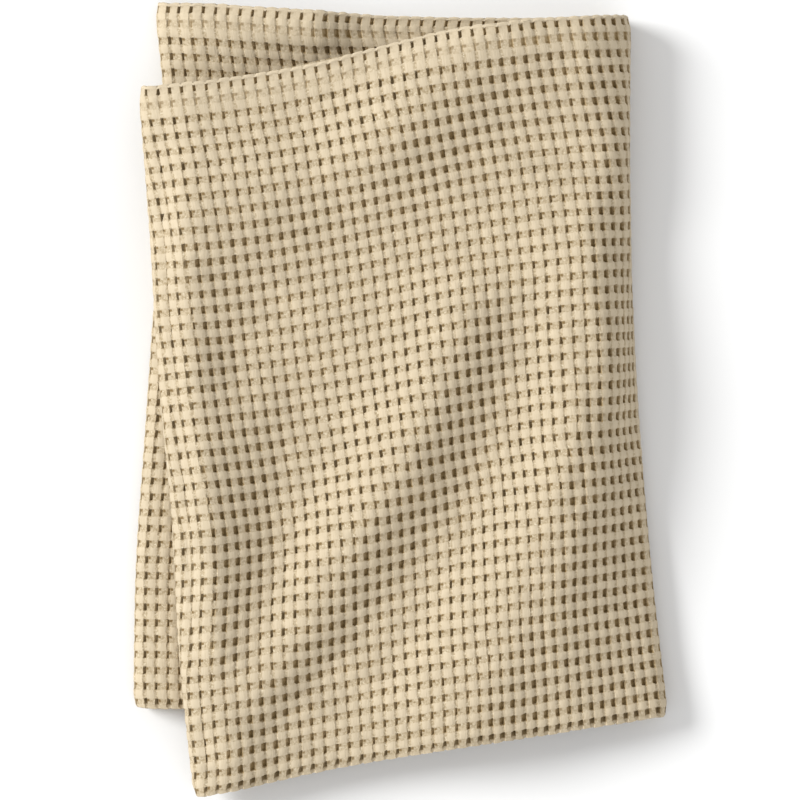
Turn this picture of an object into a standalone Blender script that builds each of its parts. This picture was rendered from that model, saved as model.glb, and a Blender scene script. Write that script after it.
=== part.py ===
"""A waffle weave cotton blanket, folded into eight layers and laid flat on a floor.

The cloth is one sheet. It is doubled once across its length, with the fold at the near end (-Y) and both hems
at the far end (+Y). The doubled cloth is then folded like a book: both sides are turned in to the middle, and
the left part is turned over onto the right. Seen along Y, the doubled cloth runs from one free side edge to
the other in seven stretches:

    inner lower panel, small left fold, bottom panel on the floor, big right fold, front panel on top,
    small left fold, inner upper panel

The sizes below are in millimetres. The finished mesh is in metres, +Z is up, and the origin is the centre of
the footprint, on the floor.
"""

import math

import bpy
import numpy as np

MM = 0.001

# The cloth and how closely its layers lie. A panel is two layers, and each panel's own middle lies two layers
# above the one before.
SHEET_THICKNESS = 3.6
LAYER_PITCH = 5.0
HALF_SHEET = SHEET_THICKNESS / 2
HALF_PITCH = LAYER_PITCH / 2
PANEL_PITCH = 2 * LAYER_PITCH
PANEL_SKIN = HALF_PITCH + HALF_SHEET
FLOOR_LEVEL = PANEL_SKIN

# The length of the folded blanket from its near fold to its hems. The side edges draw in a little towards
# both ends, which rounds the corners seen from above.
PANEL_LENGTH = 447.0
CORNER_INSET = 2.0
CORNER_LENGTH = 14.0

# Where the cloth lies, in millimetres: a row for each section, from the near fold (0) to the hems (1).
# front and back are the upper and lower half of the pile, which share the right fold. bow and sway bend the
# upper half's rows, as one hump or as a hump and a hollow, and back_bow bends the lower half's.
SECTION_COLUMNS = (
    "along", "front_x", "front_y", "back_x", "back_y", "right_x", "right_y", "bow", "sway", "back_bow",
)
SECTIONS = (
    (0.0, -130.8, -252.0, -169.4, -195.8, 170.4, -201.0, 3.9, 0.6, 18.0),
    (0.2, -139.6, -161.5, -167.8, -106.2, 160.4, -112.7, 1.0, -1.0, 6.0),
    (0.4, -144.6, -71.5, -161.8, -17.2, 152.8, -23.6, 0.8, -2.5, 0.0),
    (0.6, -153.0, 18.3, -155.6, 72.0, 147.8, 65.1, 0.8, -3.0, 0.0),
    (0.8, -158.6, 108.0, -148.6, 161.2, 145.9, 154.2, 1.0, -3.5, -1.0),
    (1.0, -165.6, 197.5, -155.8, 251.2, 146.4, 242.5, 2.7, -4.1, -4.0),
)
BACK_BOW_START = 0.1
# The right fold: how far from it the top panel starts to fall, how long its shoulder is there, and the radius
# of the fold's tip.
RIGHT_FOLD_COLUMNS = ("along", "reach", "shoulder", "tip")
RIGHT_FOLD = (
    (0.0, 56.0, 12.0, 8.0),
    (0.1, 68.0, 12.0, 5.8),
    (0.2, 62.0, 11.0, 5.8),
    (0.3, 44.0, 11.0, 5.8),
    (0.4, 30.0, 10.0, 5.8),
    (0.5, 22.0, 11.0, 5.8),
    (0.6, 26.0, 15.0, 8.0),
    (0.7, 29.0, 12.0, 13.0),
    (0.8, 29.0, 9.0, 17.0),
    (1.0, 32.0, 10.0, 16.0),
)
# How far the left folds reach past the ends of their flat panels.
FRONT_FOLD_REACH = 7.5
BACK_FOLD_REACH = 5.4
TURN_SPARE = 0.4

# Creases in millimetres, as lines of points seen from above: x, y, half width on the left and on the right of
# the way the line runs, and height (a trough's is below zero).
TOP_CREASES = {
    "long ridge": (
        (62.0, 93.0, 26.0, 21.0, -4.0),
        (40.0, 50.0, 22.0, 24.0, 6.0),
        (3.0, -37.0, 23.0, 24.0, 12.5),
        (-51.0, -123.0, 22.0, 20.0, 6.5),
        (-105.0, -222.0, 20.0, 26.0, 9.0),
    ),
    "long trough": (
        (78.0, 64.0, 21.0, 22.0, -5.5),
        (75.0, 4.0, 21.0, 27.0, -6.5),
        (59.0, -52.0, 22.0, 27.0, -7.0),
        (-17.0, -167.0, 21.0, 32.0, -7.0),
        (-86.0, -204.0, 14.0, 28.0, -6.5),
    ),
    "right swell": (
        (104.0, 61.0, 25.0, 32.0, 1.0),
        (110.0, -16.0, 11.0, 31.0, 7.0),
        (83.0, -115.0, 20.0, 30.0, 3.5),
        (40.0, -208.0, 46.0, 46.0, 12.5),
    ),
    "upper ridge": (
        (59.0, 236.0, 41.0, 21.0, 12.5),
        (-6.0, 170.0, 32.0, 31.0, 12.5),
        (-48.0, 141.0, 26.0, 19.0, 5.0),
        (-137.0, 110.0, 46.0, 44.0, 12.5),
    ),
    "upper trough": (
        (113.0, 142.0, 40.0, 41.0, -5.0),
        (22.0, 100.0, 32.0, 33.0, -5.5),
        (-63.0, 58.0, 33.0, 30.0, -0.5),
        (-97.0, 25.0, 20.0, 32.0, -5.5),
    ),
    "left ridge": (
        (-142.0, 24.0, 31.0, 23.0, 8.5),
        (-126.0, -82.0, 29.0, 19.0, 12.5),
        (-128.0, -154.0, 23.0, 18.0, 9.5),
    ),
    "left trough": (
        (-58.0, 1.0, 35.0, 22.0, -7.0),
        (-69.0, -83.0, 16.0, 28.0, -7.0),
        (-86.0, -158.0, 13.0, 13.0, -2.5),
    ),
}
LOWER_CREASES = {
    "far swell": (
        (-150.0, 240.0, 26.0, 26.0, 3.0),
        (-72.0, 240.0, 26.0, 22.0, 10.0),
        (-56.0, 240.0, 20.0, 22.0, 12.0),
    ),
    "left swell": (
        (-156.0, 0.0, 12.0, 12.0, 0.0),
        (-160.0, -90.0, 12.0, 12.0, 2.0),
        (-160.0, -180.0, 12.0, 12.0, 1.0),
    ),
}
# How far air lifts the lower panel and the top one. Both lie down again over these distances along the left
# folds and along the near fold.
LOWER_LIFT = 3.0
TOP_LIFT = 6.0
LIFT_START = 26.0
NEAR_LIFT_START = 110.0
TROUGH_SOFTNESS = 2.0
INNER_SHARE = 0.2
# Beyond the lower half's near edge the upper half sags towards the table. It starts a little before the edge.
DIP_DEPTH = 11.0
DIP_START = 12.0
DIP_LENGTH = 70.0

# The least space between the right fold and the edge of a panel inside it, beyond their own thickness.
EDGE_SPACE = 1.0

# Mesh steps along each stretch of the section, and along the length of each layer.
PANEL_STEPS = 8
FRONT_STEPS = 17
SMALL_FOLD_STEPS = 5
TIP_STEPS = 3
FALL_STEPS = 6
LENGTH_STEPS = 14
NEAR_FOLD_STEPS = 5

CLOTH_COLOUR = (0.79, 0.66, 0.45, 1.0)


def read_table(rows, columns, along):
    """Each column's value at a place along a table, on a smooth curve through its rows."""
    table = np.array(rows)
    last = len(table) - 2
    place = float(np.interp(along, table[:, 0], np.arange(len(table))))
    row = min(int(place), last)
    span = table[row + 1, 0] - table[row, 0]
    share = place - row
    start = table[row]
    end = table[row + 1]
    before = table[max(row - 1, 0)]
    after = table[min(row + 2, last + 1)]
    leaving = (end - before) / (end[0] - before[0]) * span
    arriving = (after - start) / (after[0] - start[0]) * span
    values = (
        start * (1 - share) ** 2 * (1 + 2 * share)
        + end * share**2 * (3 - 2 * share)
        + leaving * share * (1 - share) ** 2
        - arriving * share**2 * (1 - share)
    )
    return dict(zip(columns, values))


def smooth_step(value):
    held = np.clip(value, 0, 1)
    return held**2 * (3 - 2 * held)


def crease_height(creases, x, y):
    """Height that a set of creases adds at each point."""
    height = np.zeros_like(x)
    for points in creases.values():
        nearest = np.full_like(x, np.inf)
        half_width = np.ones_like(x)
        peak = np.zeros_like(x)
        for start, end in zip(points, points[1:]):
            run_x = end[0] - start[0]
            run_y = end[1] - start[1]
            length = math.hypot(run_x, run_y)
            share = np.clip(((x - start[0]) * run_x + (y - start[1]) * run_y) / length**2, 0, 1)
            distance = np.hypot(x - start[0] - share * run_x, y - start[1] - share * run_y)
            side = (run_x * (y - start[1]) - run_y * (x - start[0])) / length / np.maximum(distance, 1e-6)
            left = start[2] + share * (end[2] - start[2])
            right = start[3] + share * (end[3] - start[3])
            closer = distance < nearest
            nearest = np.where(closer, distance, nearest)
            half_width = np.where(closer, (left + right) / 2 + (left - right) / 2 * side, half_width)
            peak = np.where(closer, start[4] + share * (end[4] - start[4]), peak)
        height += peak * np.exp(-((nearest / half_width) ** 2))
    return height


def row_bend(share, place, half):
    """How far a half's rows bend away from a straight line across the cloth."""
    held = np.clip(share, 0, 1)
    if half == "front":
        return place["bow"] * np.sin(np.pi * held) + place["sway"] * np.sin(2 * np.pi * held)
    return place["back_bow"] * np.sin(np.pi * np.clip((held - BACK_BOW_START) / (1 - BACK_BOW_START), 0, 1))


def panel_height(panel, x, y):
    """Height of the middle of a panel of doubled cloth: each panel lies on the one below it."""
    table = np.array(SECTIONS)
    front_lies = smooth_step((x - np.interp(y, table[:, 2], table[:, 1])) / LIFT_START)
    back_lies = smooth_step((x - np.interp(y, table[:, 4], table[:, 3])) / LIFT_START)
    near = dict(zip(SECTION_COLUMNS, SECTIONS[0]))
    share = (x - near["front_x"]) / (near["right_x"] - near["front_x"])
    near_y = near["front_y"] + share * (near["right_y"] - near["front_y"])
    near_lies = smooth_step((y - near_y) / NEAR_LIFT_START)
    raised = TOP_LIFT * near_lies + crease_height(TOP_CREASES, x, y)
    rise = (raised + np.hypot(raised, TROUGH_SOFTNESS)) / 2 * front_lies
    lower_rise = LOWER_LIFT * near_lies + crease_height(LOWER_CREASES, x, y)
    lower = FLOOR_LEVEL + PANEL_PITCH + lower_rise * back_lies
    share = (x - near["back_x"]) / (near["right_x"] - near["back_x"])
    lower_edge = near["back_y"] + share * (near["right_y"] - near["back_y"]) + row_bend(share, near, "back")
    dip = DIP_DEPTH * smooth_step((lower_edge + DIP_START - y) / DIP_LENGTH)
    heights = {
        "bottom": np.full_like(x, FLOOR_LEVEL),
        "lower": lower,
        "upper": lower + PANEL_PITCH + INNER_SHARE * rise - dip,
        "front": lower + 2 * PANEL_PITCH + rise - dip,
    }
    return heights[panel]


def section(along):
    """Points of the doubled cloth's middle across the blanket, from one free side edge to the other."""
    place = read_table(SECTIONS, SECTION_COLUMNS, along)
    fold = read_table(RIGHT_FOLD, RIGHT_FOLD_COLUMNS, along)
    to_end = min(along, 1 - along) * PANEL_LENGTH
    inset = PANEL_SKIN + CORNER_INSET * max(1 - to_end / CORNER_LENGTH, 0.0) ** 2
    right_x = place["right_x"] - inset
    left_x = {"front": place["front_x"] + inset, "back": place["back_x"] + inset}
    tip = fold["tip"]

    def row_y(half, x):
        """How far along the blanket a half's row lies at x."""
        share = (x - left_x[half]) / (right_x - left_x[half])
        straight = place[half + "_y"] + share * (place["right_y"] - place[half + "_y"])
        return straight + row_bend(share, place, half)

    def flat_run(half, panel, start, end, steps):
        x = np.linspace(start, end, steps + 1)
        y = row_y(half, x)
        return np.column_stack([x, y, panel_height(panel, x, y)])

    def fold_reach(half, lower_panel, upper_panel, reach):
        """A left fold's reach, less where its two panels lie too close for a full turn of the cloth."""
        x = np.array([left_x[half] + reach])
        y = row_y(half, x)
        half_height = (panel_height(upper_panel, x, y)[0] - panel_height(lower_panel, x, y)[0]) / 2
        return min(reach, half_height**2 / (PANEL_SKIN + TURN_SPARE))

    def small_fold(half, lower_panel, upper_panel, reach):
        """A small left fold, from the panel above it round to the panel below."""
        centre = np.array([left_x[half] + reach])
        centre_y = row_y(half, centre)
        low = panel_height(lower_panel, centre, centre_y)
        high = panel_height(upper_panel, centre, centre_y)
        angle = np.linspace(0, np.pi, SMALL_FOLD_STEPS + 1)[1:-1]
        x = centre - reach * np.sin(angle)
        z = (low + high) / 2 + (high - low) / 2 * np.cos(angle)
        return np.column_stack([x, row_y(half, x), z])

    # The right fold's fall, from the top panel over its shoulder to where it touches the tip.
    top_x = right_x - fold["reach"]
    top_z = panel_height("front", np.array([top_x]), row_y("front", np.array([top_x])))[0]
    tip_x = right_x - tip
    tip_z = FLOOR_LEVEL + tip
    corner_x = top_x + fold["shoulder"]
    lean = math.atan2(top_z - tip_z, corner_x - tip_x)
    touch = lean - math.acos(tip / math.hypot(corner_x - tip_x, top_z - tip_z))
    touch_x = tip_x + tip * math.cos(touch)
    touch_z = tip_z + tip * math.sin(touch)

    def tip_turn(half, start, end, steps):
        angle = np.linspace(start, end, steps + 1)[1:]
        x = tip_x + tip * np.cos(angle)
        return np.column_stack([x, row_y(half, x), tip_z + tip * np.sin(angle)])

    share = np.linspace(1, 0, FALL_STEPS + 1)[1:-1]
    fall_x = top_x * (1 - share) ** 2 + corner_x * 2 * share * (1 - share) + touch_x * share**2
    fall_z = top_z * (1 - share**2) + touch_z * share**2
    fall = np.column_stack([fall_x, row_y("front", fall_x), fall_z])
    lower_turn = tip_turn("back", -math.pi / 2, 0, TIP_STEPS)
    upper_turn = tip_turn("front", 0, touch, 1)
    right_fold = np.concatenate([lower_turn, upper_turn, fall, [[top_x, 0, top_z]]])

    def inner_end(half, panel):
        """How far right a panel inside the right fold reaches before the fold is too close."""
        x = np.linspace(top_x - PANEL_PITCH, right_x, 120)
        z = panel_height(panel, x, row_y(half, x))
        share = np.linspace(0, 1, 12, endpoint=False)[:, None]
        start = right_fold[:-1, None, [0, 2]]
        profile = (start + share * (right_fold[1:, None, [0, 2]] - start)).reshape(-1, 2)
        gap = np.hypot(x[:, None] - profile[:, 0], z[:, None] - profile[:, 1]).min(axis=1)
        return np.interp(0, PANEL_PITCH + EDGE_SPACE - np.minimum.accumulate(gap), x)

    back_reach = fold_reach("back", "bottom", "lower", BACK_FOLD_REACH)
    front_reach = fold_reach("front", "upper", "front", FRONT_FOLD_REACH)
    back_start = left_x["back"] + back_reach
    front_start = left_x["front"] + front_reach
    runs = [
        flat_run("back", "lower", inner_end("back", "lower"), back_start, PANEL_STEPS),
        small_fold("back", "bottom", "lower", back_reach),
        flat_run("back", "bottom", back_start, tip_x, PANEL_STEPS),
        lower_turn,
        upper_turn,
        fall,
        flat_run("front", "front", top_x, front_start, FRONT_STEPS),
        small_fold("front", "upper", "front", front_reach),
        flat_run("front", "upper", front_start, inner_end("front", "upper"), PANEL_STEPS),
    ]
    return np.concatenate(runs)


def unit(vectors):
    """The same vectors, each one long."""
    return vectors / np.linalg.norm(vectors, axis=-1, keepdims=True)


def directions(points, axis):
    """Direction of a grid of points along one of its axes: halfway between the steps on either side."""
    steps = unit(np.diff(points, axis=axis))
    first = steps.take([0], axis=axis)
    last = steps.take([-1], axis=axis)
    return unit(np.concatenate([first, steps], axis=axis) + np.concatenate([steps, last], axis=axis))


def doubled_cloth():
    """Rows of points from one hem, round the near fold, to the other hem."""
    near = PANEL_SKIN / PANEL_LENGTH
    corner = CORNER_LENGTH / PANEL_LENGTH
    between = np.linspace(corner, 1 - corner, LENGTH_STEPS + 1)
    alongs = [near, (near + corner) / 2, *between, 1 - corner / 2, 1.0]
    middles = np.array([section(along) for along in alongs])
    across = directions(middles, 1)
    lengthwise = directions(middles, 0)
    normals = unit(np.cross(lengthwise, across))
    outer = list(middles + normals * HALF_PITCH)
    inner = list(middles - normals * HALF_PITCH)
    outward = -lengthwise[0]
    turn = []
    for step in range(1, NEAR_FOLD_STEPS):
        angle = math.pi * step / NEAR_FOLD_STEPS
        turn.append(middles[0] + HALF_PITCH * (normals[0] * math.cos(angle) + outward * math.sin(angle)))
    return outer[::-1] + turn + inner


def build_blanket(collection, material):
    """One sheet of cloth: a plain grid laid into its folds, then given its thickness."""
    rows = doubled_cloth()
    across_steps = len(rows[0]) - 1
    length_steps = len(rows) - 1
    bpy.ops.mesh.primitive_grid_add(x_subdivisions=across_steps, y_subdivisions=length_steps, size=1)
    blanket = bpy.context.object
    blanket.name = "blanket"
    for vertex in blanket.data.vertices:
        column = round((vertex.co.x + 0.5) * across_steps)
        row = round((vertex.co.y + 0.5) * length_steps)
        vertex.co = rows[row][column] * MM
    thickness = blanket.modifiers.new("Thickness", "SOLIDIFY")
    thickness.thickness = SHEET_THICKNESS * MM
    thickness.offset = 0
    thickness.use_even_offset = True
    blanket.data.shade_smooth()
    blanket.data.materials.append(material)
    for owner in list(blanket.users_collection):
        owner.objects.unlink(blanket)
    collection.objects.link(blanket)
    return blanket


def cloth_material():
    """Undyed cotton: a matt sand colour."""
    material = bpy.data.materials.new("sand cotton")
    material.use_nodes = True
    shader = material.node_tree.nodes["Principled BSDF"]
    shader.inputs["Base Color"].default_value = CLOTH_COLOUR
    shader.inputs["Roughness"].default_value = 0.95
    shader.inputs["Metallic"].default_value = 0.0
    return material


for leftover in list(bpy.data.objects):
    bpy.data.objects.remove(leftover, do_unlink=True)
folded_blanket = bpy.data.collections.new("waffle blanket")
bpy.context.scene.collection.children.link(folded_blanket)
build_blanket(folded_blanket, cloth_material())
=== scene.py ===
import math

import bpy
import numpy as np
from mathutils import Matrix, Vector


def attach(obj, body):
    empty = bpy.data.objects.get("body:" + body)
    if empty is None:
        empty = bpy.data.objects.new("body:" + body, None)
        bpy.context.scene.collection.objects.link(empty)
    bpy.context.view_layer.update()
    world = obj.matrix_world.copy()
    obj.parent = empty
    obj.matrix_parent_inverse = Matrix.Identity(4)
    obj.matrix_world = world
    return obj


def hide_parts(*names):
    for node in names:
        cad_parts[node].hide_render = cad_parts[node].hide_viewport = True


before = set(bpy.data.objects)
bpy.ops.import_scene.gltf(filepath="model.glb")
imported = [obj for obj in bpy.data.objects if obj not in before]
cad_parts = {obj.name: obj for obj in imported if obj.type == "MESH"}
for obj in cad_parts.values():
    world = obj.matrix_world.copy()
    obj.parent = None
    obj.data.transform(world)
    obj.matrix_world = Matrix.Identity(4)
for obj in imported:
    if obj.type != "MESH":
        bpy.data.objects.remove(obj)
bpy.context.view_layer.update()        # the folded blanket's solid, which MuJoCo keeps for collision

MM = 0.001

# ---------------------------------------------------------------------------------------------------------
# The blanket: one length of cotton waffle cloth, woven with a heavy two-ply yarn that floats round square
# cells and leaves a pocket in the middle of each. It is doubled once across its length, with both hems at
# the far end, its sides are turned in to the middle, and the left part is turned over onto the right.
# ---------------------------------------------------------------------------------------------------------

# The sheet, how closely its layers lie, and the folded length from the near fold to the hems. A panel is two
# layers, and its skin is the distance from its middle to its face. Towards the near fold and the hems the
# panels' sides draw in a little, which rounds the corners.
SHEET_THICKNESS = 3.6
LAYER_PITCH = 5.0
HALF_SHEET = SHEET_THICKNESS / 2
HALF_PITCH = LAYER_PITCH / 2
PANEL_PITCH = 2 * LAYER_PITCH
PANEL_SKIN = HALF_PITCH + HALF_SHEET
FLOOR_LEVEL = PANEL_SKIN
PANEL_LENGTH = 447.0
CORNER_INSET = 2.0
CORNER_LENGTH = 14.0

# Where the cloth lies, in millimetres: a row for each section, from the near fold (0) to the hems (1).
# front and back are the upper and lower half of the pile, which share the right fold. bow and sway bend
# the upper half's rows, back_bow bends the lower half's, and column is where the weave's middle column
# crosses the top.
SECTION_COLUMNS = (
    "along",
    "front_x",
    "front_y",
    "back_x",
    "back_y",
    "right_x",
    "right_y",
    "bow",
    "sway",
    "back_bow",
    "column",
)
SECTIONS = (
    (0.0, -130.8, -252.0, -169.4, -195.8, 170.4, -201.0, 3.9, 0.6, 18.0, 15.0),
    (0.2, -139.6, -161.5, -167.8, -106.2, 160.4, -112.7, 1.0, -1.0, 6.0, 11.0),
    (0.4, -144.6, -71.5, -161.8, -17.2, 152.8, -23.6, 0.8, -2.5, 0.0, 5.5),
    (0.6, -153.0, 18.3, -155.6, 72.0, 147.8, 65.1, 0.8, -3.0, 0.0, -4.0),
    (0.8, -158.6, 108.0, -148.6, 161.2, 145.9, 154.2, 1.0, -3.5, -1.0, -15.0),
    (1.0, -165.6, 197.5, -155.8, 251.2, 146.4, 242.5, 2.7, -4.1, -4.0, -30.0),
)
BACK_BOW_START = 0.1
# The right fold: how far from it the top panel starts to fall, how long its shoulder is there, the radius
# of the fold's tip, and the share by which the weave is drawn together there. The drawing sets in softly
# over a stretch of cloth.
RIGHT_FOLD_COLUMNS = ("along", "reach", "shoulder", "tip", "drawn")
RIGHT_FOLD = (
    (0.0, 56.0, 12.0, 8.0, 0.06),
    (0.1, 68.0, 12.0, 5.8, 0.06),
    (0.2, 62.0, 11.0, 5.8, 0.06),
    (0.3, 44.0, 11.0, 5.8, 0.05),
    (0.4, 30.0, 10.0, 5.8, 0.03),
    (0.5, 22.0, 11.0, 5.8, 0.01),
    (0.6, 26.0, 15.0, 8.0, 0.0),
    (0.7, 29.0, 12.0, 13.0, 0.0),
    (0.8, 29.0, 9.0, 17.0, 0.0),
    (1.0, 32.0, 10.0, 16.0, 0.0),
)
DRAWN_OVER = 90.0
# How far the left folds reach past the ends of their flat panels, and the room that their bend is spared.
FRONT_FOLD_REACH = 7.5
BACK_FOLD_REACH = 5.4
TURN_SPARE = 0.4

# Creases in millimetres, as lines of points seen from above: x, y, half width on the left and on the right
# of the way the line runs, and height (a trough's is below zero). They are the soft ridges and troughs
# that the photo's light shows on the top panel.
TOP_CREASES = {
    "long ridge": (
        (62.0, 93.0, 26.0, 21.0, -4.0),
        (40.0, 50.0, 22.0, 24.0, 6.0),
        (3.0, -37.0, 23.0, 24.0, 12.5),
        (-51.0, -123.0, 22.0, 20.0, 6.5),
        (-105.0, -222.0, 20.0, 26.0, 9.0),
    ),
    "long trough": (
        (78.0, 64.0, 21.0, 22.0, -5.5),
        (75.0, 4.0, 21.0, 27.0, -6.5),
        (59.0, -52.0, 22.0, 27.0, -7.0),
        (-17.0, -167.0, 21.0, 32.0, -7.0),
        (-86.0, -204.0, 14.0, 28.0, -6.5),
    ),
    "right swell": (
        (104.0, 61.0, 25.0, 32.0, 1.0),
        (110.0, -16.0, 11.0, 31.0, 7.0),
        (83.0, -115.0, 20.0, 30.0, 3.5),
        (40.0, -208.0, 46.0, 46.0, 12.5),
    ),
    "upper ridge": (
        (59.0, 236.0, 41.0, 21.0, 12.5),
        (-6.0, 170.0, 32.0, 31.0, 12.5),
        (-48.0, 141.0, 26.0, 19.0, 5.0),
        (-137.0, 110.0, 46.0, 44.0, 12.5),
    ),
    "upper trough": (
        (113.0, 142.0, 40.0, 41.0, -5.0),
        (22.0, 100.0, 32.0, 33.0, -5.5),
        (-63.0, 58.0, 33.0, 30.0, -0.5),
        (-97.0, 25.0, 20.0, 32.0, -5.5),
    ),
    "left ridge": (
        (-142.0, 24.0, 31.0, 23.0, 8.5),
        (-126.0, -82.0, 29.0, 19.0, 12.5),
        (-128.0, -154.0, 23.0, 18.0, 9.5),
    ),
    "left trough": (
        (-58.0, 1.0, 35.0, 22.0, -7.0),
        (-69.0, -83.0, 16.0, 28.0, -7.0),
        (-86.0, -158.0, 13.0, 13.0, -2.5),
    ),
}
LOWER_CREASES = {
    "far swell": (
        (-150.0, 240.0, 26.0, 26.0, 3.0),
        (-72.0, 240.0, 26.0, 22.0, 10.0),
        (-56.0, 240.0, 20.0, 22.0, 12.0),
    ),
    "left swell": (
        (-156.0, 0.0, 12.0, 12.0, 0.0),
        (-160.0, -90.0, 12.0, 12.0, 2.0),
        (-160.0, -180.0, 12.0, 12.0, 1.0),
    ),
}
# How far air lifts the lower panel and the top one. Both lie down again over these distances along the
# left folds and along the near fold. A trough flattens softly as it comes down on the layers below, and the
# panel under the top one follows its rise by a share.
LOWER_LIFT = 3.0
TOP_LIFT = 6.0
LIFT_START = 26.0
NEAR_LIFT_START = 110.0
TROUGH_SOFTNESS = 2.0
INNER_SHARE = 0.2
# Beyond the lower half's near edge the upper half sags towards the table. It starts a little before the
# edge.
DIP_DEPTH = 11.0
DIP_START = 12.0
DIP_LENGTH = 70.0


def read_table(rows, columns, along):
    """Each column's value at a place along a table, on a smooth curve through its rows."""
    table = np.array(rows)
    last = len(table) - 2
    place = float(np.interp(along, table[:, 0], np.arange(len(table))))
    row = min(int(place), last)
    span = table[row + 1, 0] - table[row, 0]
    share = place - row
    start = table[row]
    end = table[row + 1]
    before = table[max(row - 1, 0)]
    after = table[min(row + 2, last + 1)]
    leaving = (end - before) / (end[0] - before[0]) * span
    arriving = (after - start) / (after[0] - start[0]) * span
    values = (
        start * (1 - share) ** 2 * (1 + 2 * share)
        + end * share**2 * (3 - 2 * share)
        + leaving * share * (1 - share) ** 2
        - arriving * share**2 * (1 - share)
    )
    return dict(zip(columns, values))


def smooth_step(value):
    held = np.clip(value, 0, 1)
    return held**2 * (3 - 2 * held)


# A point this close to a crease's line, in millimetres, lies on neither side of it.
ON_THE_LINE = 1e-6


def crease_height(creases, x, y):
    """Height that a set of creases adds at each point."""
    height = np.zeros_like(x)
    for points in creases.values():
        nearest = np.full_like(x, np.inf)
        half_width = np.ones_like(x)
        peak = np.zeros_like(x)
        for start, end in zip(points, points[1:]):
            run_x = end[0] - start[0]
            run_y = end[1] - start[1]
            length = math.hypot(run_x, run_y)
            share = np.clip(((x - start[0]) * run_x + (y - start[1]) * run_y) / length**2, 0, 1)
            distance = np.hypot(x - start[0] - share * run_x, y - start[1] - share * run_y)
            side = (run_x * (y - start[1]) - run_y * (x - start[0])) / length
            side = side / np.maximum(distance, ON_THE_LINE)
            left, right, height_here = (start[i] + share * (end[i] - start[i]) for i in (2, 3, 4))
            closer = distance < nearest
            nearest = np.where(closer, distance, nearest)
            half_width = np.where(closer, (left + right) / 2 + (left - right) / 2 * side, half_width)
            peak = np.where(closer, height_here, peak)
        height += peak * np.exp(-((nearest / half_width) ** 2))
    return height


def row_bend(share, place, half):
    """How far a half's rows bend away from a straight line across the cloth."""
    held = np.clip(share, 0, 1)
    if half == "front":
        return place["bow"] * np.sin(np.pi * held) + place["sway"] * np.sin(2 * np.pi * held)
    return place["back_bow"] * np.sin(np.pi * np.clip((held - BACK_BOW_START) / (1 - BACK_BOW_START), 0, 1))


def left_side(half, y):
    """Where a half's left side lies, at places along the blanket."""
    table = dict(zip(SECTION_COLUMNS, np.array(SECTIONS).T))
    return np.interp(y, table[half + "_y"], table[half + "_x"])


def panel_height(panel, x, y):
    """Height of the middle of a panel of doubled cloth: each panel lies on the one below it."""
    front_lies = smooth_step((x - left_side("front", y)) / LIFT_START)
    back_lies = smooth_step((x - left_side("back", y)) / LIFT_START)
    near = dict(zip(SECTION_COLUMNS, SECTIONS[0]))
    share = (x - near["front_x"]) / (near["right_x"] - near["front_x"])
    near_y = near["front_y"] + share * (near["right_y"] - near["front_y"])
    near_lies = smooth_step((y - near_y) / NEAR_LIFT_START)
    raised = TOP_LIFT * near_lies + crease_height(TOP_CREASES, x, y)
    rise = (raised + np.hypot(raised, TROUGH_SOFTNESS)) / 2 * front_lies
    lower_rise = LOWER_LIFT * near_lies + crease_height(LOWER_CREASES, x, y)
    lower = FLOOR_LEVEL + PANEL_PITCH + lower_rise * back_lies
    share = (x - near["back_x"]) / (near["right_x"] - near["back_x"])
    lower_edge = near["back_y"] + share * (near["right_y"] - near["back_y"]) + row_bend(share, near, "back")
    dip = DIP_DEPTH * smooth_step((lower_edge + DIP_START - y) / DIP_LENGTH)
    heights = {
        "bottom": np.full_like(x, FLOOR_LEVEL),
        "lower": lower,
        "upper": lower + PANEL_PITCH + INNER_SHARE * rise - dip,
        "front": lower + 2 * PANEL_PITCH + rise - dip,
    }
    return heights[panel]


# How many points a section has on the top panel, on each hidden panel, on a small left fold, on the right
# fold's fall and on the two parts of its tip, and how many are tried for the end of a panel inside that
# fold.
TOP_POINTS = 90
PANEL_POINTS = 60
SMALL_FOLD_POINTS = 16
FALL_POINTS = 36
LOWER_TIP_POINTS = 12
UPPER_TIP_POINTS = 8
END_POINTS = 240


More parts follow.
